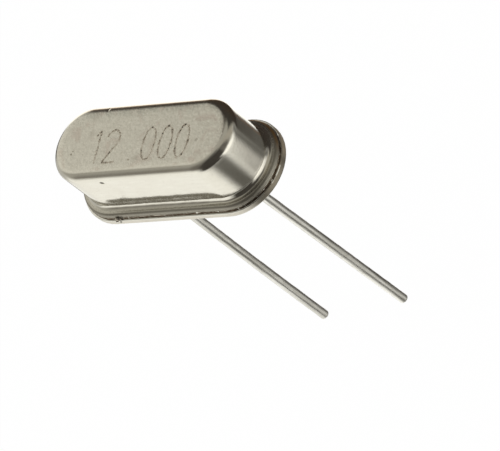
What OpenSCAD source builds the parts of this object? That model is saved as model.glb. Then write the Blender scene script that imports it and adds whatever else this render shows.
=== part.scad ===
// Low-profile two-lead quartz crystal unit: a drawn metal cap welded on a coined base,
// with a quartz strip held in two slotted spring clips inside. Millimetres, +Z up through
// the cap, X along the housing, origin in the middle of the base's underside.

/* [Housing] */
// Length over the base's rim
base_l = 11.05; // [9:0.05:14]
// Width over the base's rim
base_w = 4.65; // [3.8:0.05:6]
// Height of the cap's top above the board
height = 3.55; // [2.9:0.05:5]
// Thickness of the base's outer rim
rim_t = 0.38; // [0.25:0.01:0.5]
// Rounding of the rim's lower edge
rim_edge_r = 0.12; // [0.05:0.01:0.2]
// Rounding of the rim's upper edge
rim_top_r = 0.04; // [0.02:0.01:0.08]
// Height of the weld land that stands on the rim
land_h = 0.075; // [0.03:0.005:0.3]
// Width of the flange's flat seat on the weld land
seat_w = 0.07; // [0.04:0.005:0.12]
// Height of the base's middle, above the board
core_h = 0.85; // [0.7:0.01:1.1]
// Rounding of the middle's upper edge
core_edge_r = 0.1; // [0.04:0.01:0.2]
// Gap all round between the base's middle and the cap's wall
core_gap = 0.09; // [0.04:0.01:0.2]

/* [Cap] */
// Thickness of the cap's sheet
sheet_t = 0.26; // [0.15:0.01:0.32]
// Distance from the base's edge in to the cap's flange edge
flange_step = 0.115; // [0:0.005:0.13]
// Distance from the base's edge in to the cap's wall
wall_inset = 0.505; // [0.46:0.005:0.6]
// Outer rounding of the cap's top edge
top_r = 0.42; // [0.36:0.01:0.7]
// Outer bend radius where the wall turns out into the flange
foot_r = 0.24; // [0.1:0.01:0.28]
// Largest rounding of the flange's upper edge
flange_edge_r = 0.15; // [0.05:0.01:0.15]

/* [Leads] */
// Distance between the two leads' axes
pitch = 4.88; // [4.2:0.01:6]
// Diameter of a lead outside, over its tin coat
lead_d = 0.45; // [0.4:0.01:0.6]
// Thickness of the tin coat
coat_t = 0.01; // [0.005:0.005:0.02]
// Length below the base over which the tin coat thins out to nothing
coat_fade = 0.6; // [0.55:0.05:1]
// Length of the left lead below the base
lead_left_l = 14.3; // [5:0.05:20]
// Length of the right lead below the base
lead_right_l = 13.65; // [5:0.05:20]
// Rounding at the cut end of a lead
tip_r = 0.05; // [0.02:0.01:0.1]
// Diameter of the flattened head inside
head_d = 0.95; // [0.7:0.01:1.2]
// Thickness of the flattened head
head_t = 0.16; // [0.1:0.01:0.25]
// Rounding of the head's upper edge
head_edge_r = 0.06; // [0.02:0.01:0.09]
// Distance from the base's middle up to the head
head_gap = 0.1; // [0.05:0.01:0.3]

/* [Glass seals] */
// Diameter of the hole that the glass fills
seal_d = 1.5; // [1:0.01:1.8]
// How far the glass stops short of the metal's face
seal_recess = 0.03; // [0.01:0.01:0.1]
// Depth of the hollow in the glass between lead and metal
meniscus = 0.06; // [0.02:0.01:0.1]

/* [Spring clips] */
// Thickness of the clip's strip
clip_t = 0.1; // [0.06:0.01:0.15]
// Inner bend radius of the clip
clip_bend_r = 0.1; // [0.05:0.01:0.2]
// Width of the clip's foot
foot_w = 0.9; // [0.6:0.01:1.1]
// Width of the clip's upright
upright_w = 1.4; // [1.1:0.01:1.7]
// Height of the neck between the bend and the full width
neck_h = 0.15; // [0.05:0.01:0.3]
// Length of the foot on the far side of the lead's axis
foot_back = 0.42; // [0.2:0.01:0.6]
// Rounding of the clip's free corners
clip_corner_r = 0.12; // [0.05:0.01:0.2]
// Gap from the upright's top to the cap
upright_top_gap = 0.59; // [0.3:0.01:0.75]
// Clearance on each side of what stands in the slot
slot_gap = 0.03; // [0.01:0.01:0.06]

/* [Resonator] */
// Frequency in MHz, which sets the strip's thickness
freq = 12; // [10:1:30]
// Gap from each end of the strip to the cap
strip_end_gap = 0.79; // [0.4:0.01:1]
// Gap from the strip's upper edge to the cap
strip_top_gap = 0.2; // [0.1:0.01:0.4]
// Gap from the clip's foot up to the strip
strip_foot_gap = 0.1; // [0.05:0.01:0.2]
// How far the strip reaches through the upright of a clip
strip_grip = 0.3; // [0.2:0.01:0.4]
// Length of the electrode's pad
pad_l = 4.2; // [3:0.1:4.6]
// Margin above and below the pad
pad_margin = 0.25; // [0.1:0.01:0.3]
// Rounding of the pad's corners
pad_r = 0.3; // [0.05:0.01:0.35]
// Width of the electrode's tab
tab_w = 0.6; // [0.3:0.01:0.8]
// Thickness of the electrode film, thicker than the real one
film_t = 0.02; // [0.015:0.001:0.03]
// Radius of each drop of conductive adhesive
drop_r = 0.4; // [0.35:0.01:0.45]
// Least distance from the drop to either end of the clip's upright
drop_end_gap = 0.05; // [0.02:0.01:0.1]

/* [Hidden] */

$fn = 64;
eps = 0.01;

// every outline of the housing is a slot shape round the same straight middle
straight = base_l - base_w;
flange_half = base_w / 2 - flange_step;
wall_half = base_w / 2 - wall_inset;
cavity_half = wall_half - sheet_t;
core_half = cavity_half - core_gap;
land_half = wall_half + foot_r + seat_w;
// the flange's edge is rounded no further in than the bend, and not through the whole sheet
edge_r = min(flange_edge_r, flange_half - wall_half - foot_r, sheet_t * 0.75);
flange_z = rim_t + land_h;
flange_top = flange_z + sheet_t;
ceiling = height - sheet_t;

lead_r = lead_d / 2;
wire_r = lead_r - coat_t;
seal_r = seal_d / 2;
head_z = core_h + head_gap;
head_top = head_z + head_t;

// thickness-shear quartz is 1.66 mm thick at 1 MHz, and thinner in proportion above it
strip_t = 1.66 / freq;
strip_z = head_top + clip_t + strip_foot_gap;
strip_w = ceiling - strip_top_gap - strip_z;
strip_l = straight + 2 * (cavity_half - strip_end_gap);
upright_x = strip_l / 2 - strip_grip - clip_t / 2;
upright_h = ceiling - upright_top_gap - strip_z;
slot_w = strip_t + 2 * film_t + 2 * slot_gap;
drop_z = strip_z + upright_h / 2;
// in a low housing the upright is short, and the drop stays between its ends
drop_ball_r = min(drop_r, upright_h / 2 - drop_end_gap);

// A half profile, in x outwards and y up, carried round the housing's slot-shaped outline
module round_the_housing() {
    for (turn = [0, 180])
        rotate([0, 0, turn])
            translate([straight / 2, 0, 0])
                rotate([0, 0, -90])
                    rotate_extrude(angle = 180)
                        children();
    rotate([90, 0, 90])
        linear_extrude(height = straight, center = true) {
            children();
            mirror([1, 0])
                children();
        }
}

// A half profile from the axis out to half, with its upper outer corner rounded
module step_profile(half, low, high, r) {
    translate([0, low])
        square([half - r, high - low]);
    translate([0, low])
        square([half, high - low - r]);
    translate([half - r, high - r])
        intersection() {
            circle(r);
            square(r);
        }
}

// What is left of a square corner when a circle of radius r is taken out of it
module inside_corner(x, y, r) {
    difference() {
        translate([x, y])
            square(r);
        translate([x + r, y + r])
            circle(r);
    }
}

// The cap's section: one drawn sheet with a rounded top edge and an out-turned flange
module cap_profile() {
    difference() {
        union() {
            step_profile(wall_half, flange_z, height, top_r);
            step_profile(flange_half, flange_z, flange_top, edge_r);
            inside_corner(wall_half, flange_top, foot_r);
        }
        step_profile(cavity_half, flange_z - eps, ceiling, top_r - sheet_t);
        inside_corner(cavity_half, flange_z, foot_r + sheet_t);
    }
}

// The base's section: a coined plate with a rim, a weld land and a raised middle
module base_profile() {
    difference() {
        step_profile(base_w / 2, 0, rim_t, rim_top_r);
        translate([base_w / 2, 0])
            rotate(90)
                inside_corner(0, 0, rim_edge_r);
    }
    step_profile(land_half, 0, flange_z, rim_top_r);
    step_profile(core_half, 0, core_h, core_edge_r);
}

module cap() {
    color("#b9b5a6")
        round_the_housing()
            cap_profile();
}

module base() {
    color("#a9a293")
        difference() {
            round_the_housing()
                base_profile();
            for (side = [-1, 1])
                translate([side * pitch / 2, 0, -eps])
                    cylinder(r = seal_r, h = core_h + 2 * eps);
        }
}

// The hollow of the glass between the lead and the hole, as the circle that cuts it
module meniscus_cut(dir) {
    half_gap = (seal_r - wire_r) / 2;
    r = (half_gap * half_gap + meniscus * meniscus) / (2 * meniscus);
    translate([wire_r + half_gap, dir * (meniscus - r)])
        circle(r);
}

module glass_seal(side) {
    color("#5a7466")
        translate([side * pitch / 2, 0, 0])
            rotate_extrude()
                difference() {
                    translate([wire_r, seal_recess])
                        square([seal_r - wire_r, core_h - 2 * seal_recess]);
                    translate([0, seal_recess])
                        meniscus_cut(1);
                    translate([0, core_h - seal_recess])
                        meniscus_cut(-1);
                }
}

// One lead: a flattened head, a bare wire through the glass and a tinned length below
module lead(side, l) {
    color("#b4b4b0")
        translate([side * pitch / 2, 0, 0]) {
            translate([0, 0, head_z])
                rotate_extrude()
                    step_profile(head_d / 2, 0, head_t, head_edge_r);
            cylinder(r = wire_r, h = head_z + head_t / 2);
            translate([0, 0, -coat_fade])
                cylinder(r1 = lead_r, r2 = wire_r, h = coat_fade);
            translate([0, 0, -coat_fade])
                mirror([0, 0, 1])
                    rotate_extrude()
                        step_profile(lead_r, 0, l - coat_fade, tip_r);
        }
}

// A plate outline with its corners on the +x side rounded
module rounded_end(l, w, r) {
    translate([0, -w / 2])
        square([l - r, w]);
    translate([0, -w / 2 + r])
        square([l, w - 2 * r]);
    for (y = [-1, 1])
        translate([l - r, y * (w / 2 - r)])
            circle(r);
}

// The clip's upright as a flat outline, x up and y across, with the slot open at its top
module upright_outline() {
    low = head_top + clip_t + clip_bend_r;
    top = strip_z + upright_h;
    wide = low + neck_h;
    flare = (upright_w - foot_w) / 2;
    difference() {
        union() {
            translate([low, -foot_w / 2])
                square([neck_h + flare, foot_w]);
            polygon([
                [wide, -foot_w / 2], [wide, foot_w / 2],
                [wide + flare, upright_w / 2], [wide + flare, -upright_w / 2]
            ]);
            translate([wide + flare, 0])
                rounded_end(top - wide - flare, upright_w, clip_corner_r);
        }
        translate([strip_z, -slot_w / 2])
            square([upright_h + eps, slot_w]);
    }
}

// One spring clip: a strip with a foot on the lead's head, a bend and a slotted upright
module spring_clip(side) {
    bend_x = upright_x - clip_t / 2 - clip_bend_r;
    bend_z = head_top + clip_t + clip_bend_r;
    foot_x = pitch / 2 - foot_back;
    color("#c2a46a")
        mirror([side < 0 ? 1 : 0, 0, 0]) {
            translate([bend_x, 0, head_top])
                mirror([1, 0, 0])
                    linear_extrude(height = clip_t)
                        rounded_end(bend_x - foot_x, foot_w, clip_corner_r);
            translate([bend_x, foot_w / 2, bend_z])
                rotate([90, 0, 0])
                    rotate([0, 0, -90])
                        linear_extrude(height = foot_w)
                            difference() {
                                intersection() {
                                    circle(clip_bend_r + clip_t);
                                    square(clip_bend_r + clip_t);
                                }
                                circle(clip_bend_r);
                            }
            translate([upright_x + clip_t / 2, 0, 0])
                rotate([0, -90, 0])
                    linear_extrude(height = clip_t)
                        upright_outline();
        }
}

module quartz_blank() {
    color("#dfe6e8")
        translate([-strip_l / 2, -strip_t / 2, strip_z])
            cube([strip_l, strip_t, strip_w]);
}

// One electrode, seen from the front, with its tab running to the left
module electrode_outline() {
    pad_w = strip_w - 2 * pad_margin;
    for (turn = [0, 180])
        rotate(turn)
            rounded_end(pad_l / 2, pad_w, pad_r);
    translate([-strip_l / 2, -tab_w / 2])
        square([strip_l / 2, tab_w]);
}

// The tab lies level with the adhesive, so the film reaches the drop
module electrode(turn) {
    color("#d5d5d2")
        rotate([0, 0, turn])
            translate([0, -strip_t / 2, strip_z + strip_w / 2])
                rotate([90, 0, 0])
                    linear_extrude(height = film_t)
                        electrode_outline();
}

// One drop of adhesive, wrapped round the strip's end and the clip's slot
module adhesive(side) {
    color("#9c9c98")
        difference() {
            translate([side * (upright_x + clip_t / 2), 0, drop_z])
                sphere(drop_ball_r);
            quartz_blank();
            electrode(0);
            electrode(180);
            spring_clip(side);
        }
}

cap();
base();
glass_seal(-1);  // glass_seal_left
glass_seal(1);  // glass_seal_right
lead(-1, lead_left_l);  // lead_left
lead(1, lead_right_l);  // lead_right
spring_clip(-1);  // spring_clip_left
spring_clip(1);  // spring_clip_right
quartz_blank();
electrode(0);  // electrode_front
electrode(180);  // electrode_back
adhesive(-1);  // adhesive_left
adhesive(1);  // adhesive_right
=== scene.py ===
"""The looks of a low two-lead quartz crystal unit: finishes, cap, weld, wires, marking, studio.

Everything is in metres in the CAD part's own frame: +Z up through the cap, X along the housing and
the seating plane at z = 0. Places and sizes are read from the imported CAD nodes.
"""

import math
import random

import bmesh
import bpy
from mathutils import Matrix, Vector


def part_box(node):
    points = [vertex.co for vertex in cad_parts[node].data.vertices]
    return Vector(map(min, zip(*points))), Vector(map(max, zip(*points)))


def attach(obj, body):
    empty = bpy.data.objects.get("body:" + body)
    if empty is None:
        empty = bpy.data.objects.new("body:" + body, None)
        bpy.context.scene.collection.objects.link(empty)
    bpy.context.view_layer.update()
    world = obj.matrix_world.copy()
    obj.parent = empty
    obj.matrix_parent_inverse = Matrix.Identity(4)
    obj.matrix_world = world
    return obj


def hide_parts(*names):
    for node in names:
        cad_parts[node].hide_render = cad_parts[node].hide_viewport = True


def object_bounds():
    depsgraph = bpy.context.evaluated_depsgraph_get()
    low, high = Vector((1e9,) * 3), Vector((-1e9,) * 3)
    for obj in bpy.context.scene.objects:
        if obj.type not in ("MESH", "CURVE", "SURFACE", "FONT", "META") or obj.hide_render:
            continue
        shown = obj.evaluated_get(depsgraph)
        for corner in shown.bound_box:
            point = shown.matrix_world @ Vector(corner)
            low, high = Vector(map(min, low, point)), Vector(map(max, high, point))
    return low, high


MM = 0.001

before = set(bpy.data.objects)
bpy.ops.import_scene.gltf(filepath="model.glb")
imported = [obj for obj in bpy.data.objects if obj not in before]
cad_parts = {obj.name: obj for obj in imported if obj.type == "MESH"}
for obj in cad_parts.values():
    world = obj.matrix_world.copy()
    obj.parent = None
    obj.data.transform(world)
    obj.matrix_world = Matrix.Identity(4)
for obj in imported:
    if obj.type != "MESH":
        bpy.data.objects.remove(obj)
cad_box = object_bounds()

# ---------------------------------------------------------------- sizes read from the frame

CAP_LOW, CAP_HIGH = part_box("cap")
BASE_LOW, BASE_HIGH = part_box("base")
LEAD_LOW = {"left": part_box("lead_left")[0], "right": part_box("lead_right")[0]}
LEAD_HIGH = {"left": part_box("lead_left")[1], "right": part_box("lead_right")[1]}

# every outline of the housing is a slot: two half circles HALF_STRAIGHT either side of the middle
HALF_STRAIGHT = BASE_HIGH.x - BASE_HIGH.y
SHEET = 0.26 * MM
FLANGE_HALF = CAP_HIGH.y
WALL_HALF = BASE_HIGH.y - 0.505 * MM
FOOT_R = 0.24 * MM
EDGE_R = 0.15 * MM
TOP_R = 0.42 * MM
FLANGE_TOP = CAP_LOW.z + SHEET
# the top of the base's rim, where metal squeezed out of the weld lies
LEDGE = BASE_LOW.z + 0.38 * MM

LEAD_R = 0.225 * MM
WIRE_R = 0.215 * MM
COAT_FADE = 0.6 * MM
HEAD_T = 0.16 * MM
HEAD_EDGE = 0.06 * MM


# ---------------------------------------------------------------- shader helpers


def new_tree(name):
    """A material with an empty node tree, and that tree."""
    made = bpy.data.materials.new(name)
    made.use_nodes = True
    made.node_tree.nodes.clear()
    return made, made.node_tree


def add_node(tree, kind, inputs=None, **properties):
    """A shader node; each input is given a plain value or another node's output."""
    made = tree.nodes.new("ShaderNode" + kind)
    for name, value in properties.items():
        setattr(made, name, value)
    for name, value in (inputs or {}).items():
        if isinstance(value, bpy.types.NodeSocket):
            tree.links.new(value, made.inputs[name])
        else:
            made.inputs[name].default_value = value
    return made


def calc(tree, operation, first, second=0.0, third=0.0):
    """One Math node's result."""
    made = add_node(tree, "Math", {0: first, 1: second, 2: third}, operation=operation)
    return made.outputs[0]


def times(tree, first, second):
    """The product of two values."""
    return calc(tree, "MULTIPLY", first, second)


def less(tree, share):
    """What is left of 1 without the share."""
    return calc(tree, "SUBTRACT", 1.0, share)


def fade(tree, value, low, high):
    """0 below low, 1 above high, with a soft change between them."""
    made = add_node(
        tree,
        "MapRange",
        {"Value": value, "From Min": low, "From Max": high},
        interpolation_type="SMOOTHSTEP",
    )
    return made.outputs["Result"]


def blend(tree, share, first, second):
    """The colour first at share 0 and second at share 1."""
    made = add_node(tree, "Mix", data_type="RGBA")
    for socket, value in ((0, share), (6, first), (7, second)):
        if isinstance(value, bpy.types.NodeSocket):
            tree.links.new(value, made.inputs[socket])
        else:
            made.inputs[socket].default_value = value
    return made.outputs[2]


def millimetres(tree, stretch=(1, 1, 1), turn=(0, 0, 0)):
    """Object coordinates in millimetres, stretched or turned for a pattern with a direction."""
    place = add_node(tree, "TexCoord").outputs["Object"]
    scale = [1000 * s for s in stretch]
    made = add_node(tree, "Mapping", {"Vector": place, "Scale": scale, "Rotation": turn})
    return made.outputs["Vector"]


def noise(tree, where, size, detail=3.0, roughness=0.55, distortion=0.0):
    """Cloudy noise from 0 to 1 whose features are about size millimetres across."""
    settings = {
        "Vector": where,
        "Scale": 1 / size,
        "Detail": detail,
        "Roughness": roughness,
        "Distortion": distortion,
    }
    return add_node(tree, "TexNoise", settings).outputs["Fac"]


def out_from_middle(tree, where):
    """How many millimetres a place lies out from the straight line down the housing's middle."""
    place = add_node(tree, "SeparateXYZ", {"Vector": where})
    past = calc(tree, "SUBTRACT", calc(tree, "ABSOLUTE", place.outputs["X"]), HALF_STRAIGHT / MM)
    past = calc(tree, "MAXIMUM", past, 0.0)
    across = times(tree, place.outputs["Y"], place.outputs["Y"])
    return calc(tree, "SQRT", calc(tree, "MULTIPLY_ADD", past, past, across))


def spot(tree, where, x, y, size):
    """1 at a place on the top, fading raggedly to 0 about size millimetres away."""
    ragged = noise(tree, where, 0.08, detail=3.0)
    middle = (x, y, CAP_HIGH.z / MM)
    away = add_node(tree, "VectorMath", {0: where, 1: middle}, operation="DISTANCE")
    away = calc(tree, "MULTIPLY_ADD", ragged, size, away.outputs["Value"])
    return less(tree, fade(tree, away, 0.7 * size, 1.5 * size))


def facing_way(tree):
    """The X, Y and Z of the way that the surface faces."""
    geometry = add_node(tree, "NewGeometry")
    return add_node(tree, "SeparateXYZ", {"Vector": geometry.outputs["Normal"]}).outputs


def bump(tree, height, depth, normal=None):
    """A normal pushed by height, where 1 stands depth millimetres proud."""
    settings = {"Height": height, "Distance": depth * MM, "Strength": 1.0}
    if normal is not None:
        settings["Normal"] = normal
    return add_node(tree, "Bump", settings).outputs["Normal"]


def shade(tree, **inputs):
    """The Principled shader that ends a material."""
    named = {name.replace("_", " "): value for name, value in inputs.items()}
    shader = add_node(tree, "BsdfPrincipled", named)
    out = add_node(tree, "OutputMaterial")
    tree.links.new(shader.outputs["BSDF"], out.inputs["Surface"])


# ---------------------------------------------------------------- finishes

# marks on the cap's top: where they are and how far they reach, in mm, and how dark they are
TOP_MARKS = (
    (-3.77, -0.56, 0.075, 0.8),
    (-3.70, -0.42, 0.055, 0.7),
    (3.25, -0.30, 0.12, 0.45),
    (0.05, -0.95, 0.22, 0.22),
    (-2.9, 0.4, 0.25, 0.18),
)


def cap_finish():
    """Satin nickel plate on drawn steel: matt mottled top, burnished walls, dull flange edge."""
    made, tree = new_tree("satin_nickel_cap")
    where = millimetres(tree)
    facing = facing_way(tree)
    place = add_node(tree, "SeparateXYZ", {"Vector": where})
    height = place.outputs["Z"]
    cap_low, cap_high = CAP_LOW.z / MM, CAP_HIGH.z / MM
    level = fade(tree, facing["Z"], 0.97, 0.998)
    top = times(tree, level, fade(tree, height, cap_high - 0.2, cap_high - 0.1))
    out = out_from_middle(tree, where)
    edge = fade(tree, out, FLANGE_HALF / MM - 0.13, FLANGE_HALF / MM - 0.06)
    flange = fade(tree, out, WALL_HALF / MM + 0.12, WALL_HALF / MM + 0.20)

    clouds = noise(tree, where, 0.9, detail=4.0)
    grain = noise(tree, where, 0.05, detail=2.0)
    nickel = blend(tree, clouds, (0.72, 0.69, 0.62, 1), (0.80, 0.785, 0.72, 1))
    satin = blend(tree, clouds, (0.83, 0.80, 0.72, 1), (0.90, 0.88, 0.80, 1))
    nickel = blend(tree, top, nickel, satin)
    drawn_lines = millimetres(tree, stretch=(0.25, 1.6, 1.0), turn=(0, 0, 0.9))
    drawn = noise(tree, drawn_lines, 0.2, detail=3.0)
    worn = times(tree, fade(tree, drawn, 0.35, 0.75), 0.25)
    nickel = blend(tree, worn, nickel, (0.66, 0.63, 0.56, 1))
    stain = fade(tree, noise(tree, where, 1.0, detail=4.0, distortion=0.9), 0.52, 0.70)
    stain = times(tree, stain, times(tree, top, 0.55))
    nickel = blend(tree, stain, nickel, (0.66, 0.56, 0.50, 1))
    back_edge = times(tree, fade(tree, place.outputs["Y"], 0.9, 1.35), top)
    patches = fade(tree, noise(tree, where, 0.5, detail=4.0), 0.38, 0.6)
    dulled = times(tree, patches, back_edge)
    nickel = blend(tree, times(tree, dulled, 0.5), nickel, (0.55, 0.56, 0.50, 1))
    mottle = fade(tree, noise(tree, where, 0.12, detail=3.0), 0.30, 0.70)
    mottled = times(tree, mottle, times(tree, top, 0.45))
    nickel = blend(tree, mottled, nickel, (0.66, 0.64, 0.57, 1))
    speck = fade(tree, noise(tree, where, 0.10, detail=2.0), 0.63, 0.72)
    nickel = blend(tree, times(tree, speck, 0.35), nickel, (0.50, 0.45, 0.38, 1))
    for x, y, size, dark in TOP_MARKS:
        mark = times(tree, spot(tree, where, x, y, size), times(tree, top, dark))
        nickel = blend(tree, mark, nickel, (0.22, 0.185, 0.14, 1))
    streaks = fade(tree, noise(tree, where, 0.09, detail=3.0), 0.35, 0.65)
    dull = blend(tree, streaks, (0.50, 0.48, 0.42, 1), (0.34, 0.32, 0.27, 1))
    nickel = blend(tree, times(tree, flange, 0.65), nickel, dull)
    nickel = blend(tree, times(tree, edge, 0.75), nickel, (0.34, 0.32, 0.27, 1))
    # straw-brown tint on what faces back: lighter straw on the top's rear rounding, brown on the
    # flange's rear edge
    behind = fade(tree, facing["Y"], 0.15, 0.55)
    shoulder = times(tree, behind, fade(tree, height, cap_high - 0.40, cap_high - 0.25))
    nickel = blend(tree, times(tree, shoulder, 0.65), nickel, (0.82, 0.67, 0.48, 1))
    nickel = blend(tree, times(tree, behind, edge), nickel, (0.46, 0.30, 0.15, 1))
    burnished = less(tree, fade(tree, height, cap_low + 0.02, cap_low + 0.05))
    nickel = blend(tree, burnished, nickel, (0.70, 0.68, 0.61, 1))

    roughness = calc(tree, "MULTIPLY_ADD", top, 0.13, 0.09)
    roughness = calc(tree, "MULTIPLY_ADD", grain, 0.08, roughness)
    roughness = calc(tree, "MULTIPLY_ADD", flange, 0.14, roughness)
    roughness = calc(tree, "MULTIPLY_ADD", edge, 0.24, roughness)
    roughness = calc(tree, "MULTIPLY_ADD", burnished, -0.34, roughness)

    scratch_lines = millimetres(tree, stretch=(0.12, 1.0, 2.2), turn=(0, 0.5, 0))
    scratch = noise(tree, scratch_lines, 0.10, detail=3.0)
    scratched = times(tree, scratch, less(tree, top))
    wave = bump(tree, noise(tree, where, 1.5, detail=1.0), 0.005)
    lines = bump(tree, scratched, 0.0022, wave)
    pitted = bump(tree, times(tree, mottle, top), 0.0014, lines)
    fine = bump(tree, grain, 0.0015, pitted)
    shade(tree, Base_Color=nickel, Metallic=1.0, Roughness=roughness, Normal=fine)
    return made


def base_finish():
    """The same plate on the coined base: matt side with painted shade towards the right-hand end,
    dull back end, burnished upper edge.
    """
    made, tree = new_tree("satin_nickel_base")
    where = millimetres(tree)
    clouds = noise(tree, where, 0.5, detail=4.0)
    grain = noise(tree, where, 0.04, detail=2.0)
    metal = blend(tree, clouds, (0.58, 0.55, 0.49, 1), (0.76, 0.73, 0.66, 1))
    place = add_node(tree, "SeparateXYZ", {"Vector": where})
    # painted shade on the side that faces right, standing in for the shadowed table that this side
    # mirrors
    along = calc(tree, "SUBTRACT", place.outputs["X"], HALF_STRAIGHT / MM)
    across = place.outputs["Y"]
    painted_end_shade = calc(tree, "MULTIPLY_ADD", across, -0.26, times(tree, along, 0.97))
    painted_end_shade = fade(tree, calc(tree, "MULTIPLY_ADD", clouds, 0.4, painted_end_shade), 1.75, 2.45)
    metal = blend(tree, times(tree, painted_end_shade, 0.85), metal, (0.27, 0.235, 0.18, 1))
    facing_back = fade(tree, facing_way(tree)["Y"], 0.05, 0.35)
    behind = times(tree, facing_back, fade(tree, along, 0.6, 1.1))
    metal = blend(tree, times(tree, behind, 0.9), metal, (0.66, 0.58, 0.46, 1))
    # the burnished line runs whole along the front and is broken round the right-hand end
    whole = less(tree, fade(tree, along, 1.0, 1.5))
    broken = fade(tree, noise(tree, where, 0.45, detail=1.0), 0.52, 0.60)
    ledge = LEDGE / MM
    upper_edge = fade(tree, place.outputs["Z"], ledge - 0.055, ledge - 0.035)
    upper_edge = times(tree, upper_edge, calc(tree, "MAXIMUM", whole, broken))
    metal = blend(tree, upper_edge, metal, (0.84, 0.83, 0.78, 1))
    roughness = calc(tree, "MULTIPLY_ADD", grain, 0.10, 0.34)
    roughness = calc(tree, "MULTIPLY_ADD", behind, 0.30, roughness)
    roughness = calc(tree, "MULTIPLY_ADD", upper_edge, -0.26, roughness)
    fine = bump(tree, grain, 0.0015, bump(tree, clouds, 0.004))
    shade(tree, Base_Color=metal, Metallic=1.0, Roughness=roughness, Normal=fine)
    return made


def wire_finish():
    """Dipped tin on drawn wire: long dark and light streaks along the lead."""
    made, tree = new_tree("tinned_wire")
    where = millimetres(tree)
    streak = noise(tree, millimetres(tree, stretch=(1, 1, 0.05)), 0.16, detail=1.5)
    ripple = noise(tree, millimetres(tree, stretch=(1, 1, 0.3)), 0.22, detail=1.0)
    spots = noise(tree, where, 0.25, detail=4.0)
    tin = blend(tree, fade(tree, streak, 0.3, 0.7), (0.62, 0.61, 0.57, 1), (0.90, 0.89, 0.86, 1))
    spotted = times(tree, fade(tree, spots, 0.55, 0.7), 0.3)
    tin = blend(tree, spotted, tin, (0.55, 0.51, 0.44, 1))
    roughness = calc(tree, "MULTIPLY_ADD", spots, 0.16, 0.26)
    lines = bump(tree, streak, 0.014, bump(tree, ripple, 0.010))
    shade(tree, Base_Color=tin, Metallic=1.0, Roughness=roughness, Normal=lines)
    return made


def flash_finish():
    """Metal squeezed out of the weld: grey crests, a dark brown foot that is partly burnt metal and
    partly painted shade in the seam, and a few bright spots.
    """
    made, tree = new_tree("weld_flash")
    where = millimetres(tree)
    height = add_node(tree, "SeparateXYZ", {"Vector": where}).outputs["Z"]
    burnt = noise(tree, where, 0.22, detail=4.0)
    ledge = LEDGE / MM
    # the dark brown foot: partly burnt metal, partly painted shade where the seam lies under the
    # flange
    level = calc(tree, "MULTIPLY_ADD", burnt, -0.10, height)
    upper = fade(tree, level, ledge - 0.010, ledge + 0.045)
    metal = blend(tree, upper, (0.13, 0.090, 0.06, 1), (0.50, 0.46, 0.39, 1))
    fresh = fade(tree, noise(tree, where, 0.15, detail=2.0), 0.60, 0.68)
    low_bead = less(tree, fade(tree, height, ledge - 0.06, ledge - 0.03))
    fresh = calc(tree, "MAXIMUM", fresh, low_bead)
    metal = blend(tree, fresh, metal, (0.86, 0.85, 0.80, 1))
    roughness = calc(tree, "MULTIPLY_ADD", burnt, 0.25, 0.25)
    roughness = calc(tree, "MULTIPLY_ADD", fresh, -0.24, roughness)
    lumps = bump(tree, noise(tree, where, 0.08, detail=3.0), 0.005)
    shade(tree, Base_Color=metal, Metallic=1.0, Roughness=roughness, Normal=lumps)
    return made


def marking_finish():
    """The burnt surface of a row of marking dots, darker than the plate round it."""
    made, tree = new_tree("burnt_mark")
    where = millimetres(tree)
    burnt = noise(tree, where, 0.12, detail=3.0)
    mark = blend(tree, fade(tree, burnt, 0.3, 0.7), (0.30, 0.255, 0.19, 1), (0.58, 0.53, 0.43, 1))
    roughness = calc(tree, "MULTIPLY_ADD", burnt, 0.2, 0.5)
    grain = bump(tree, noise(tree, where, 0.02, detail=1.0), 0.002)
    shade(tree, Base_Color=mark, Metallic=0.4, Roughness=roughness, Normal=grain)
    return made


def glass_finish():
    """Dark green-grey sealing glass, nearly opaque, with fine bubbles."""
    made, tree = new_tree("sealing_glass")
    where = millimetres(tree)
    clouds = noise(tree, where, 0.25, detail=4.0)
    glass = blend(tree, clouds, (0.035, 0.055, 0.045, 1), (0.09, 0.12, 0.10, 1))
    bubbles = noise(tree, where, 0.05, detail=1.0)
    shade(tree, Base_Color=glass, Roughness=0.12, IOR=1.52, Normal=bump(tree, bubbles, 0.002))
    return made


def simple_metal(name, dark, light, roughness, feature):
    """A plain metal with cloudy colour and fine grain, for the parts inside the housing."""
    made, tree = new_tree(name)
    where = millimetres(tree)
    clouds = noise(tree, where, feature, detail=4.0)
    grain = noise(tree, where, feature / 8, detail=2.0)
    metal = blend(tree, clouds, dark, light)
    rough = calc(tree, "MULTIPLY_ADD", grain, 0.12, roughness)
    shade(tree, Base_Color=metal, Metallic=1.0, Roughness=rough, Normal=bump(tree, grain, 0.001))
    return made


def quartz_finish():
    """Lapped quartz: clear but frosted on its faces."""
    made, tree = new_tree("lapped_quartz")
    frost = noise(tree, millimetres(tree), 0.03, detail=3.0)
    quartz = blend(tree, frost, (0.80, 0.85, 0.86, 1), (0.93, 0.96, 0.97, 1))
    roughness = calc(tree, "MULTIPLY_ADD", frost, 0.2, 0.3)
    shade(tree, Base_Color=quartz, Roughness=roughness, IOR=1.54, Transmission_Weight=0.6)
    return made


def adhesive_finish():
    """Cured silver-filled resin: dull grey with bright flakes."""
    made, tree = new_tree("silver_resin")
    where = millimetres(tree)
    flakes = noise(tree, where, 0.02, detail=2.0)
    resin = blend(tree, flakes, (0.34, 0.34, 0.33, 1), (0.62, 0.62, 0.60, 1))
    shade(tree, Base_Color=resin, Metallic=0.4, Roughness=0.55, Normal=bump(tree, flakes, 0.004))
    return made


def paint(name, finish):
    """Gives a CAD node's material slots the finish."""
    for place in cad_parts[name].material_slots:
        place.material = finish


# ---------------------------------------------------------------- shaping helpers


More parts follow.
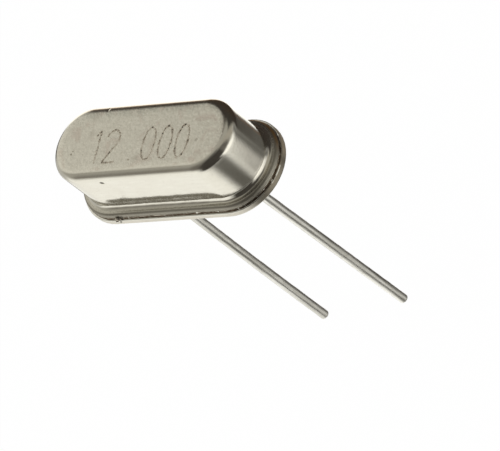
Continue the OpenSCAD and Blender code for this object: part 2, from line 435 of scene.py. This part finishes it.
def open_piece(piece):
    """Opens one piece in edit mode, in vertex mode with nothing selected."""
    bpy.ops.object.select_all(action="DESELECT")
    piece.select_set(True)
    bpy.context.view_layer.objects.active = piece
    bpy.ops.object.mode_set(mode="EDIT")
    bpy.ops.mesh.select_mode(type="VERT")
    bpy.ops.mesh.select_all(action="DESELECT")


def close_piece():
    """Takes the open piece back to object mode."""
    bpy.ops.object.mode_set(mode="OBJECT")


def pick(piece, wanted):
    """Selects the vertices whose place passes the test, with the edges and faces between them."""
    mesh = bmesh.from_edit_mesh(piece.data)
    for vertex in mesh.verts:
        vertex.select = wanted(vertex.co)
    mesh.select_flush_mode()
    bmesh.update_edit_mesh(piece.data)


def picked(piece):
    """The numbers of the selected vertices."""
    mesh = bmesh.from_edit_mesh(piece.data)
    mesh.verts.index_update()
    return {vertex.index for vertex in mesh.verts if vertex.select}


def pick_again(piece, numbers, wanted=None):
    """Selects vertices by their numbers, or those of them that pass the test."""
    mesh = bmesh.from_edit_mesh(piece.data)
    mesh.verts.ensure_lookup_table()
    for vertex in mesh.verts:
        vertex.select = vertex.index in numbers and (wanted is None or wanted(vertex.co))
    mesh.select_flush_mode()
    bmesh.update_edit_mesh(piece.data)


def slot_ring(name, radius, height, arc_parts, straight_parts):
    """A slot-shaped loop of edges: a circle pulled apart in two halves, its long edges divided."""
    bpy.ops.object.select_all(action="DESELECT")
    bpy.ops.mesh.primitive_circle_add(vertices=2 * arc_parts, radius=radius, location=(0, 0, 0))
    piece = bpy.context.object
    piece.name = name
    open_piece(piece)
    bpy.ops.mesh.select_all(action="SELECT")
    half_step = math.pi / (2 * arc_parts)
    bpy.ops.transform.rotate(value=half_step, orient_axis="Z", center_override=(0, 0, 0))
    bpy.ops.transform.translate(value=(0, 0, height))
    for side in (-1, 1):
        pick(piece, lambda co: co.x * side > 0)
        bpy.ops.transform.translate(value=(side * HALF_STRAIGHT, 0, 0))
    pick(piece, lambda co: abs(co.y) > radius * math.cos(1.5 * half_step))
    bpy.ops.mesh.subdivide(number_cuts=straight_parts - 1)
    bpy.ops.mesh.select_all(action="SELECT")
    return piece


def spread_ring(piece, ring, ratio, height):
    """Widens or narrows a slot-shaped loop by the same amount all round."""
    for side in (-1, 1):
        pick_again(piece, ring, lambda co: co.x * side > HALF_STRAIGHT)
        middle = (side * HALF_STRAIGHT, 0, height)
        bpy.ops.transform.resize(value=(ratio, ratio, 1), center_override=middle)
    pick_again(piece, ring, lambda co: abs(co.x) < HALF_STRAIGHT)
    bpy.ops.transform.resize(value=(1, ratio, 1), center_override=(0, 0, height))


def draw_round(piece, section):
    """Draws the open loop through each radius and height of the section, ring after ring."""
    first = picked(piece)
    ring = first
    radius, height = section[0]
    for next_radius, next_height in section[1:]:
        pick_again(piece, ring)
        rise = {"value": (0, 0, next_height - height)}
        bpy.ops.mesh.extrude_region_move(TRANSFORM_OT_translate=rise)
        ring = picked(piece)
        if next_radius != radius:
            spread_ring(piece, ring, next_radius / radius, next_height)
        radius, height = next_radius, next_height
    return first, ring


def arc(middle, radius, start, end, parts):
    """Points along a circular arc of a section, its angles in degrees."""
    points = []
    for part in range(parts + 1):
        angle = math.radians(start + (end - start) * part / parts)
        points.append((middle[0] + radius * math.cos(angle), middle[1] + radius * math.sin(angle)))
    return points


def steps(start, end, parts):
    """Points between two points of a section, without its ends."""
    return [
        tuple(a + (b - a) * part / parts for a, b in zip(start, end)) for part in range(1, parts)
    ]


def press(piece, weight, depth, direction="NORMAL", lumps=None):
    """Pushes a piece's surface by depth where weight says so, evenly or in lumps of a size."""
    group = piece.vertex_groups.new(name="pressed")
    for vertex in piece.data.vertices:
        share = weight(vertex.co)
        if share > 0:
            group.add([vertex.index], share, "REPLACE")
    push = piece.modifiers.new("press", "DISPLACE")
    push.vertex_group = group.name
    push.direction = direction
    push.strength = depth
    push.mid_level = 0.0
    if lumps:
        cloud = bpy.data.textures.new(piece.name + "_lumps", "CLOUDS")
        cloud.noise_scale = lumps
        cloud.noise_depth = 2
        push.texture = cloud
        push.texture_coords = "LOCAL"
        push.mid_level = 0.5
    bpy.ops.object.select_all(action="DESELECT")
    piece.select_set(True)
    bpy.context.view_layer.objects.active = piece
    bpy.ops.object.modifier_apply(modifier=push.name)
    piece.vertex_groups.clear()


def smooth_step(value, low, high):
    """0 below low, 1 above high, eased between them."""
    share = min(1.0, max(0.0, (value - low) / (high - low)))
    return share * share * (3 - 2 * share)


def finish_shading(piece, angle=40):
    """Smooth shading, with edges sharper than the angle, in degrees, left crisp."""
    bpy.ops.object.select_all(action="DESELECT")
    piece.select_set(True)
    bpy.context.view_layer.objects.active = piece
    bpy.ops.object.shade_smooth_by_angle(angle=math.radians(angle))


# ---------------------------------------------------------------- the pieces


def cap_section():
    """The drawn sheet's section, from the ceiling's middle round the flange to the top's middle."""
    cavity = WALL_HALF - SHEET
    ceiling = CAP_HIGH.z - SHEET
    bend = FOOT_R + SHEET
    toe = (WALL_HALF + FOOT_R, FLANGE_TOP + FOOT_R)
    shoulder = (WALL_HALF - TOP_R, CAP_HIGH.z - TOP_R)
    middle = 0.06 * MM
    section = [(middle, ceiling)] + steps((middle, ceiling), (shoulder[0], ceiling), 3)
    section += arc(shoulder, TOP_R - SHEET, 90, 0, 5)
    section += steps((cavity, shoulder[1]), (cavity, toe[1]), 5)
    section += arc(toe, bend, 180, 270, 6)
    section += [(toe[0] + 0.07 * MM, CAP_LOW.z), (FLANGE_HALF - 0.01 * MM, CAP_LOW.z)]
    section += [(FLANGE_HALF, CAP_LOW.z + 0.01 * MM)]
    section += arc((FLANGE_HALF - EDGE_R, FLANGE_TOP - EDGE_R), EDGE_R, 0, 90, 7)
    section += arc(toe, FOOT_R, 270, 180, 11)[1:]
    section += steps((WALL_HALF, toe[1]), (WALL_HALF, shoulder[1]), 14)
    section += arc(shoulder, TOP_R, 0, 90, 11)
    section += steps((shoulder[0], CAP_HIGH.z), (middle, CAP_HIGH.z), 6) + [(middle, CAP_HIGH.z)]
    return section


def facing_angle(co):
    """The bearing, in degrees, that the housing's side faces at a place."""
    straight_part = max(-HALF_STRAIGHT, min(HALF_STRAIGHT, co.x))
    return math.degrees(math.atan2(co.y, co.x - straight_part))


def out_from_axis(co):
    """How far a place lies out from the straight line down the housing's middle."""
    straight_part = max(-HALF_STRAIGHT, min(HALF_STRAIGHT, co.x))
    return math.hypot(co.x - straight_part, co.y)


def dent(piece, place, direction, half_length, half_width, depth):
    """A small dent, its mesh divided finely first; sizes in mm, direction along its length."""
    middle = Vector(place) * MM
    length = Vector(direction).normalized()
    open_piece(piece)
    pick(piece, lambda co: (co - middle).length < 3 * half_length * MM)
    bpy.ops.mesh.subdivide(number_cuts=5)
    close_piece()

    def weight(co):
        along = (co - middle).dot(length)
        across = (co - middle - along * length).length
        return math.exp(-((along / (half_length * MM)) ** 2) - (across / (half_width * MM)) ** 2)

    press(piece, lambda co: weight(co) if (co - middle).length < 0.5 * MM else 0.0, depth * MM)


def make_cap():
    """The drawn cap as it was used: wavy and grooved at its foot, flange dipped, two dents."""
    section = cap_section()
    piece = slot_ring("cap_shell", section[0][0], section[0][1], 66, 64)
    first, last = draw_round(piece, section)
    pick_again(piece, last)
    bpy.ops.mesh.edge_face_add()
    pick_again(piece, first)
    bpy.ops.mesh.edge_face_add()
    bpy.ops.mesh.select_all(action="SELECT")
    bpy.ops.mesh.normals_make_consistent(inside=False)
    close_piece()

    def wall_weight(co):
        """The wall is wavy, most of all near its foot, and less round the right-hand end."""
        outside = smooth_step(out_from_axis(co), WALL_HALF - 0.1 * MM, WALL_HALF - 0.02 * MM)
        low_part = 1 - smooth_step(co.z, FLANGE_TOP + 0.3 * MM, FLANGE_TOP + 1.4 * MM)
        right_end = smooth_step(co.x, HALF_STRAIGHT, HALF_STRAIGHT + 0.6 * MM)
        above_flange = smooth_step(co.z, FLANGE_TOP - 0.02 * MM, FLANGE_TOP + 0.10 * MM)
        return outside * (0.2 + 0.8 * low_part) * (1 - 0.6 * right_end) * above_flange

    press(piece, wall_weight, 0.018 * MM, lumps=0.45 * MM)

    def groove_weight(co):
        """A shallow groove that the welding jaw left along the front of the foot."""
        if co.y > -WALL_HALF + 0.1 * MM or out_from_axis(co) > WALL_HALF + 0.1 * MM:
            return 0.0
        share = (co.z - FLANGE_TOP - 0.20 * MM) / (0.55 * MM)
        along = smooth_step(co.x, -3.5 * MM, -2.6 * MM)
        along *= 1 - smooth_step(co.x, 2.4 * MM, 3.3 * MM)
        return along * math.sin(math.pi * min(1.0, max(0.0, share))) ** 2

    press(piece, groove_weight, -0.026 * MM)

    def bulge_weight(co):
        """The right-hand end of the wall stands out a little at half its height."""
        if co.x <= 0 or out_from_axis(co) <= WALL_HALF - 0.1 * MM:
            return 0.0
        bearing = facing_angle(co)
        right_end = smooth_step(bearing, -80, -50) * (1 - smooth_step(bearing, 70, 95))
        share = (co.z - FLANGE_TOP - FOOT_R) / (CAP_HIGH.z - TOP_R - FLANGE_TOP - FOOT_R)
        return right_end * math.sin(math.pi * min(1.0, max(0.0, share)))

    press(piece, bulge_weight, 0.010 * MM)

    def foot_weight(co):
        """Round the right end the foot's bend starts slowly and ends tight."""
        on_bend = WALL_HALF - 0.02 * MM < out_from_axis(co) < WALL_HALF + FOOT_R
        sine = (FLANGE_TOP + FOOT_R - co.z) / FOOT_R
        if not on_bend or not 0 < sine < 1:
            return 0.0
        round_right = smooth_step(co.x, 1.0 * MM, HALF_STRAIGHT + 0.2 * MM)
        round_right *= 1 - smooth_step(facing_angle(co), 70, 95)
        turn = math.degrees(math.asin(sine))
        return round_right * smooth_step(turn, 24, 52) * (1 - smooth_step(turn, 58, 88))

    press(piece, foot_weight, -0.024 * MM)

    def left_shoulder_weight(co):
        """The top's rounding is a little fuller round the left end."""
        sine = (co.z - CAP_HIGH.z + TOP_R) / TOP_R
        if out_from_axis(co) < WALL_HALF - TOP_R or not 0 < sine < 1:
            return 0.0
        end = smooth_step(-co.x, HALF_STRAIGHT + 1.1 * MM, HALF_STRAIGHT + 1.75 * MM)
        return end * math.sin(2 * math.asin(sine))

    press(piece, left_shoulder_weight, -0.030 * MM)

    def back_top_weight(co):
        """The top's rear edge stands out a little past the wall."""
        outside = smooth_step(co.y, WALL_HALF - TOP_R - 0.2 * MM, WALL_HALF - 0.1 * MM)
        return outside * smooth_step(co.z, CAP_HIGH.z - 0.9 * MM, CAP_HIGH.z - 0.3 * MM)

    press(piece, back_top_weight, 0.035 * MM, direction="Y")

    def back_flange_weight(co):
        """The flange dips round the back of the right-hand end."""
        if co.x <= 0:
            return 0.0
        bearing = facing_angle(co)
        back_right = smooth_step(bearing, -12, 18) * (1 - smooth_step(bearing, 86, 100))
        outer = max(0.0, out_from_axis(co) - WALL_HALF - 0.10 * MM) / (0.3 * MM)
        upper = smooth_step(co.z, CAP_LOW.z + 0.03 * MM, CAP_LOW.z + 0.1 * MM)
        return min(1.0, outer) * back_right * upper

    press(piece, back_flange_weight, -0.085 * MM, direction="Z")

    # one high on the front wall, and a nick on the top's rear edge
    dent(piece, (-2.0, -WALL_HALF / MM, 3.0), (0.86, 0, -0.5), 0.11, 0.05, -0.080)
    dent(piece, (-2.3, 1.575, 3.51), (0.2, 0.8, -0.5), 0.10, 0.05, -0.012)
    finish_shading(piece)
    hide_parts("cap")
    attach(piece, "root")
    return piece


# beads of spatter on the weld: x, y, z and radius, in mm
SPATTER = (
    (-2.93, -2.28, 0.45, 0.120),
    (-3.02, -2.33, 0.31, 0.060),
    (-2.86, -2.34, 0.26, 0.045),
    (-2.74, -2.27, 0.44, 0.060),
    (1.14, -2.20, 0.60, 0.030),
    (1.30, -2.20, 0.57, 0.022),
    (1.97, -2.18, 0.61, 0.026),
    (-1.80, -2.21, 0.52, 0.030),
    (5.33, -0.62, 0.40, 0.060),
    (5.42, -0.36, 0.40, 0.042),
    (5.20, -0.64, 0.60, 0.035),
)


def make_bead(x, y, z, size):
    """One lumpy bead, drawn out along the weld that it lies on."""
    bpy.ops.object.select_all(action="DESELECT")
    bpy.ops.mesh.primitive_ico_sphere_add(subdivisions=3, radius=size * MM, location=(0, 0, 0))
    bead = bpy.context.object
    bead.name = "spatter"
    open_piece(bead)
    bpy.ops.mesh.select_all(action="SELECT")
    at_end = x * MM > HALF_STRAIGHT + 1.5 * MM
    drawn_out = (0.7, 2.0, 0.8) if at_end else (1.35, 0.6, 0.8)
    bpy.ops.transform.resize(value=drawn_out, center_override=(0, 0, 0))
    bpy.ops.transform.translate(value=(x * MM, y * MM, z * MM))
    close_piece()
    press(bead, lambda co: 1.0, 0.5 * size * MM, lumps=1.1 * size * MM)
    return bead


def make_weld_flash():
    """The lumpy line of metal squeezed out between flange and rim, with its beads of spatter."""
    inner = FLANGE_HALF - 0.09 * MM
    section = [
        (inner, LEDGE + 0.005 * MM),
        (FLANGE_HALF + 0.015 * MM, LEDGE + 0.002 * MM),
        (FLANGE_HALF + 0.030 * MM, LEDGE + 0.025 * MM),
        (FLANGE_HALF + 0.022 * MM, LEDGE + 0.055 * MM),
        (FLANGE_HALF + 0.004 * MM, LEDGE + 0.080 * MM),
        (FLANGE_HALF - 0.030 * MM, LEDGE + 0.085 * MM),
        (inner, LEDGE + 0.070 * MM),
        (inner, LEDGE + 0.005 * MM),
    ]
    piece = slot_ring("weld_flash", section[0][0], section[0][1], 180, 170)
    draw_round(piece, section)
    bpy.ops.mesh.select_all(action="SELECT")
    bpy.ops.mesh.remove_doubles(threshold=0.0001 * MM)
    bpy.ops.mesh.normals_make_consistent(inside=False)
    close_piece()

    def crest(co):
        return smooth_step(co.z, LEDGE + 0.04 * MM, LEDGE + 0.08 * MM)

    press(piece, crest, 0.11 * MM, direction="Z", lumps=0.38 * MM)

    def outer_face(co):
        out = out_from_axis(co)
        return 0.8 * smooth_step(out, FLANGE_HALF - 0.01 * MM, FLANGE_HALF + 0.03 * MM)

    press(piece, outer_face, 0.035 * MM, lumps=0.22 * MM)

    beads = [make_bead(*bead) for bead in SPATTER]
    bpy.ops.object.select_all(action="DESELECT")
    for bead in beads:
        bead.select_set(True)
    piece.select_set(True)
    bpy.context.view_layer.objects.active = piece
    bpy.ops.object.join()
    finish_shading(piece, 50)
    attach(piece, "root")
    return piece


def make_lead(side, lean, bow, seed):
    """One tinned wire, drawn up ring by ring from its cut tip to its flattened head.

    Lean is how far the tip stands off straight down, and bow how far the middle does.
    """
    low, high = LEAD_LOW[side], LEAD_HIGH[side]
    axis = Vector(((low.x + high.x) / 2, 0, 0))
    length = -low.z
    wobble = random.Random(seed)

    def middle(height):
        share = max(0.0, (-height - COAT_FADE) / (length - COAT_FADE))
        return axis + lean * share + bow * math.sin(math.pi * share) + Vector((0, 0, height))

    slug, ring_gap, drift_most = 0.12 * MM, 0.24 * MM, 0.0035 * MM
    bpy.ops.object.select_all(action="DESELECT")
    bpy.ops.mesh.primitive_cylinder_add(vertices=28, radius=LEAD_R, depth=slug, location=(0, 0, 0))
    piece = bpy.context.object
    piece.name = "tinned_lead_" + side
    open_piece(piece)
    bpy.ops.mesh.select_all(action="SELECT")
    bpy.ops.transform.translate(value=middle(low.z) + Vector((0, 0, slug / 2)))
    pick(piece, lambda co: co.z < low.z + 0.01 * MM)
    bpy.ops.mesh.bevel(offset=0.055 * MM, segments=4, affect="EDGES")
    pick(piece, lambda co: co.z < low.z + 0.004 * MM)
    bpy.ops.transform.resize(value=(0.8, 0.8, 1), center_override=middle(low.z))
    pick(piece, lambda co: co.z > low.z + slug - 0.01 * MM)

    height = low.z + slug
    place = middle(height)
    size = Vector((LEAD_R, LEAD_R))
    stations = []
    while height < -COAT_FADE - 0.3 * MM:
        height += ring_gap
        drift = Vector((wobble.uniform(-1, 1), wobble.uniform(-1, 1), 0)) * drift_most
        squeeze = Vector((wobble.uniform(0.975, 1.01), wobble.uniform(0.975, 1.01))) * LEAD_R
        stations.append((middle(height) + drift, squeeze))
    head_foot = high.z - HEAD_T
    head_r = (high.x - low.x) / 2
    wire = ((LEAD_R, -COAT_FADE), (WIRE_R, 0.0), (WIRE_R, head_foot))
    head = ((head_r, head_foot), (head_r, high.z - HEAD_EDGE), (head_r - HEAD_EDGE, high.z))
    for radius, at in wire + head:
        stations.append((middle(at), Vector((radius, radius))))
    for goal, radii in stations:
        bpy.ops.mesh.extrude_region_move(TRANSFORM_OT_translate={"value": goal - place})
        ratio = (radii.x / size.x, radii.y / size.y, 1)
        bpy.ops.transform.resize(value=ratio, center_override=goal)
        place, size = goal, radii
    bpy.ops.mesh.select_all(action="SELECT")
    bpy.ops.mesh.normals_make_consistent(inside=False)
    close_piece()
    finish_shading(piece, 45)
    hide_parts("lead_" + side)
    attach(piece, "root")
    return piece


def curve_points(middle, half_width, half_height, start, end, parts):
    """Points on part of an oval, its angles in degrees."""
    points = []
    for part in range(parts + 1):
        angle = math.radians(start + (end - start) * part / parts)
        across, up = half_width * math.cos(angle), half_height * math.sin(angle)
        points.append((middle[0] + across, middle[1] + up))
    return points


def digit_strokes():
    """A plain figure of two digits, a point and three noughts, as strokes on the top, in mm."""
    low, high = -1.10, 0.50
    centre = (low + high) / 2
    strokes = [[(-2.50, high - 0.22), (-2.30, high), (-2.30, low)]]
    two = curve_points((-1.52, high - 0.42), 0.36, 0.42, 165, -25, 14)
    strokes.append(two + [(-1.88, low), (-1.14, low)])
    strokes.append([(-0.33, low + 0.08), (-0.27, low + 0.08)])
    for x in (0.58, 1.52, 2.46):
        strokes.append(curve_points((x, centre), 0.33, (high - low) / 2, 90, 450, 30))
    return strokes


def places_along(stroke, gap):
    """Places at even gaps along a stroke."""
    places = []
    left = 0.0
    for start, end in zip(stroke, stroke[1:]):
        run = math.hypot(end[0] - start[0], end[1] - start[1])
        at = left
        while at < run:
            places.append(tuple(a + (b - a) * at / run for a, b in zip(start, end)))
            at += gap
        left = at - run
    return places


def make_marking():
    """The rated figure as rows of small burnt dots: one dot modelled and the rest copied."""
    radius, depth = 0.076 * MM, 0.008 * MM
    gap, stray = 0.088, 0.018
    bpy.ops.object.select_all(action="DESELECT")
    bpy.ops.mesh.primitive_cylinder_add(vertices=10, radius=radius, depth=depth, location=(0, 0, 0))
    dot = bpy.context.object
    open_piece(dot)
    pick(dot, lambda co: co.z > 0)
    bpy.ops.transform.resize(value=(0.8, 0.8, 1), center_override=(0, 0, depth / 2))
    close_piece()
    hand = random.Random(12)
    copies = []
    for stroke in digit_strokes():
        for x, y in places_along(stroke, gap):
            off = (hand.uniform(-stray, stray), hand.uniform(-stray, stray))
            shift = Vector((x + off[0], y + off[1], 0)) * MM
            shift.z = CAP_HIGH.z - 0.001 * MM
            size = hand.uniform(0.5, 1.15)
            each = dot.copy()
            each.data = dot.data.copy()
            each.data.transform(Matrix.Translation(shift) @ Matrix.Diagonal((size, size, 1, 1)))
            bpy.context.scene.collection.objects.link(each)
            copies.append(each)
    first = copies[0]
    bpy.data.objects.remove(dot)
    bpy.ops.object.select_all(action="DESELECT")
    for each in copies:
        each.select_set(True)
    bpy.context.view_layer.objects.active = first
    bpy.ops.object.join()
    first.name = "marking"
    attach(first, "root")
    return first


# ---------------------------------------------------------------- studio

VIEW_AZIMUTH = 58.74
VIEW_ELEVATION = 43.73
VIEW_ROLL = -52.43
VIEW_DISTANCE = 226.19 * MM
AIM = Vector((2.07, -1.37, -2.60)) * MM
LENS = 367.85
SENSOR = 36.0


def place_camera():
    """The camera, rolled so that the housing lies across the picture."""
    turn = math.radians(VIEW_AZIMUTH)
    rise = math.radians(VIEW_ELEVATION)
    data = bpy.data.cameras.new("camera")
    data.sensor_width = SENSOR
    data.lens = LENS
    data.clip_start = 10 * MM
    data.clip_end = 10.0
    camera = bpy.data.objects.new("camera", data)
    bpy.context.scene.collection.objects.link(camera)
    facing = Matrix.Rotation(turn, 4, "Z") @ Matrix.Rotation(math.pi / 2 - rise, 4, "X")
    back = facing @ Vector((0, 0, 1))
    rolled = facing @ Matrix.Rotation(math.radians(VIEW_ROLL), 4, "Z")
    camera.matrix_world = Matrix.Translation(AIM + back * VIEW_DISTANCE) @ rolled
    bpy.context.scene.camera = camera


def lay_floor():
    """A white floor at the lead tips that stays white to the camera and keeps a faint shadow."""
    bpy.ops.mesh.primitive_plane_add(size=3.0, location=(0, 0, cad_box[0].z))
    floor = bpy.context.object
    floor.name = "floor"
    made, tree = new_tree("white_floor")
    ray = add_node(tree, "LightPath")
    glow = add_node(tree, "Emission", {"Color": (1, 1, 1, 1), "Strength": 1.0})
    paper = add_node(tree, "BsdfDiffuse", {"Color": (0.85, 0.85, 0.84, 1)})
    share = times(tree, ray.outputs["Is Camera Ray"], 0.985)
    both = add_node(tree, "MixShader")
    tree.links.new(share, both.inputs[0])
    tree.links.new(paper.outputs[0], both.inputs[1])
    tree.links.new(glow.outputs[0], both.inputs[2])
    out = add_node(tree, "OutputMaterial")
    tree.links.new(both.outputs[0], out.inputs["Surface"])
    floor.data.materials.append(made)
    floor.visible_glossy = False


# Cards round the object, each laid over those before it: colour, which way its sides lean, middle
# and half width in bearing, low and high edge in rise, softness of its sides and of its edges.
# Angles are in degrees, bearing from +X towards +Y and rise up from level.
CARDS = {
    "back wall": ((0.72, 0.70, 0.625), "upright", 163, 22, 14, 58, 8, 12),
    "dim ceiling": ((0.15, 0.145, 0.13), "upright", -80, 52, 40, 120, 40, 30),
    "front horizon": ((0.17, 0.155, 0.135), "upright", -110, 28, 13, 54, 15, 12),
    "camera side": ((0.050, 0.045, 0.038), "upright", -61.5, 42, -33, 70, 11, 12),
    "camera's shade": ((0.13, 0.125, 0.11), "upright", -54, 28, -90, -33, 18, 10),
    "grey side": ((0.135, 0.125, 0.11), "upright", -8, 14, 10, 70, 12, 10),
    "beige side": ((0.41, 0.38, 0.32), "upright", 27, 14, 2, 90, 14, 14),
    "table": ((0.40, 0.39, 0.36), "upright", 6, 26, -90, -38, 14, 8),
    "table's shade": ((0.18, 0.175, 0.16), "upright", 38, 11, -90, 2, 10, 10),
    "rear window": ((1.28, 1.27, 1.21), "upright", 134, 28, -90, 8, 10, 9),
    "left grey": ((0.55, 0.54, 0.50), "upright", 185, 18, -34, 12, 8, 16),
    "side window": ((1.30, 1.28, 1.20), "window", -18, 21, -38, -2, 9, 8),
    "rear": ((0.044, 0.039, 0.033), "upright", 80, 33, -90, 53, 10, 7),
    "rear edge": ((0.044, 0.036, 0.030), "rear", 105, 26, -90, 56, 5, 7),
    "curtain": ((0.16, 0.105, 0.07), "rear", 128, 6, -90, 4, 5, 8),
    "far edge": ((0.11, 0.10, 0.085), "upright", 158, 8.5, -60, 3, 3, 4),
    "rear floor": ((0.15, 0.145, 0.13), "upright", 64, 36, -90, -42, 12, 5),
}


def card_share(tree, bearing, rise, middle, half, low, high, side_soft, edge_soft):
    """1 on a card and 0 off it, soft at its sides and its edges."""
    away = calc(tree, "WRAP", calc(tree, "SUBTRACT", bearing, middle), 180.0, -180.0)
    away = calc(tree, "ABSOLUTE", away)
    across = less(tree, fade(tree, away, half - side_soft, half + side_soft))
    above = fade(tree, rise, low - edge_soft, low + edge_soft)
    below = less(tree, fade(tree, rise, high - edge_soft, high + edge_soft))
    return times(tree, across, times(tree, above, below))


def surround_colour(tree):
    """What the metal mirrors: pale floor and back wall, window cards, dark camera side and rear."""
    where = add_node(tree, "TexCoord").outputs["Generated"]
    parts = add_node(tree, "SeparateXYZ", {"Vector": where})
    bearing = calc(tree, "ARCTAN2", parts.outputs["Y"], parts.outputs["X"])
    bearing = calc(tree, "DEGREES", bearing)
    rise = calc(tree, "DEGREES", calc(tree, "ARCSINE", parts.outputs["Z"]))
    sunk = calc(tree, "MINIMUM", rise, 0.0)
    raised = calc(tree, "MAXIMUM", rise, 0.0)
    rear_lean = calc(tree, "MULTIPLY_ADD", sunk, -0.65, bearing)
    leaning = {
        "upright": bearing,
        "rear": calc(tree, "MULTIPLY_ADD", raised, -0.3, rear_lean),
        "window": calc(tree, "MULTIPLY_ADD", sunk, 0.3, bearing),
    }
    white_floor = (1.09, 1.08, 1.02, 1)
    dim_room = (0.40, 0.385, 0.335, 1)
    room = blend(tree, fade(tree, rise, -16.0, 22.0), white_floor, dim_room)
    for colour, lean, *edges in CARDS.values():
        share = card_share(tree, leaning[lean], rise, *edges)
        room = blend(tree, share, room, (*colour, 1))
    return room


def build_surround():
    """The camera sees plain white, matt surfaces get an even light and metal mirrors the studio."""
    world = bpy.data.worlds.new("studio")
    bpy.context.scene.world = world
    world.use_nodes = True
    tree = world.node_tree
    tree.nodes.clear()
    ray = add_node(tree, "LightPath")
    mirrored = add_node(tree, "Background", {"Color": surround_colour(tree), "Strength": 1.0})
    even = add_node(tree, "Background", {"Color": (1, 0.99, 0.97, 1), "Strength": 0.75})
    seen = add_node(tree, "Background", {"Color": (1, 1, 1, 1), "Strength": 1.0})
    first = add_node(tree, "MixShader")
    tree.links.new(ray.outputs["Is Glossy Ray"], first.inputs[0])
    tree.links.new(even.outputs[0], first.inputs[1])
    tree.links.new(mirrored.outputs[0], first.inputs[2])
    second = add_node(tree, "MixShader")
    tree.links.new(ray.outputs["Is Camera Ray"], second.inputs[0])
    tree.links.new(first.outputs[0], second.inputs[1])
    tree.links.new(seen.outputs[0], second.inputs[2])
    out = add_node(tree, "OutputWorld")
    tree.links.new(second.outputs[0], out.inputs["Surface"])


def hang_lamp():
    """One large soft lamp overhead, for the shadow and the matt surfaces."""
    data = bpy.data.lights.new("overhead", "AREA")
    data.size = 0.25
    data.energy = 0.25
    lamp = bpy.data.objects.new("overhead", data)
    lamp.location = (-0.06, -0.05, 0.30)
    lamp.rotation_euler = (Vector((0, 0, 0)) - lamp.location).to_track_quat("-Z", "Y").to_euler()
    lamp.visible_glossy = False
    bpy.context.scene.collection.objects.link(lamp)


# ---------------------------------------------------------------- making it

place_camera()
lay_floor()
build_surround()
hang_lamp()

make_cap().data.materials.append(cap_finish())
make_weld_flash().data.materials.append(flash_finish())
make_marking().data.materials.append(marking_finish())
wire = wire_finish()
straight = Vector((0, 0, 0))
make_lead("left", straight, Vector((-0.02, -0.035, 0)) * MM, 5).data.materials.append(wire)
make_lead("right", Vector((0.06, 0.28, 0)) * MM, straight, 9).data.materials.append(wire)

paint("base", base_finish())
paint("quartz_blank", quartz_finish())
seal = glass_finish()
strip = simple_metal("spring_strip", (0.55, 0.47, 0.33, 1), (0.74, 0.66, 0.50, 1), 0.25, 0.4)
resin = adhesive_finish()
for side in ("left", "right"):
    paint("glass_seal_" + side, seal)
    paint("spring_clip_" + side, strip)
    paint("adhesive_" + side, resin)
silver = simple_metal("silver_film", (0.78, 0.78, 0.76, 1), (0.90, 0.90, 0.88, 1), 0.12, 0.3)
for face in ("front", "back"):
    paint("electrode_" + face, silver)

bpy.context.scene.view_settings.view_transform = "Standard"
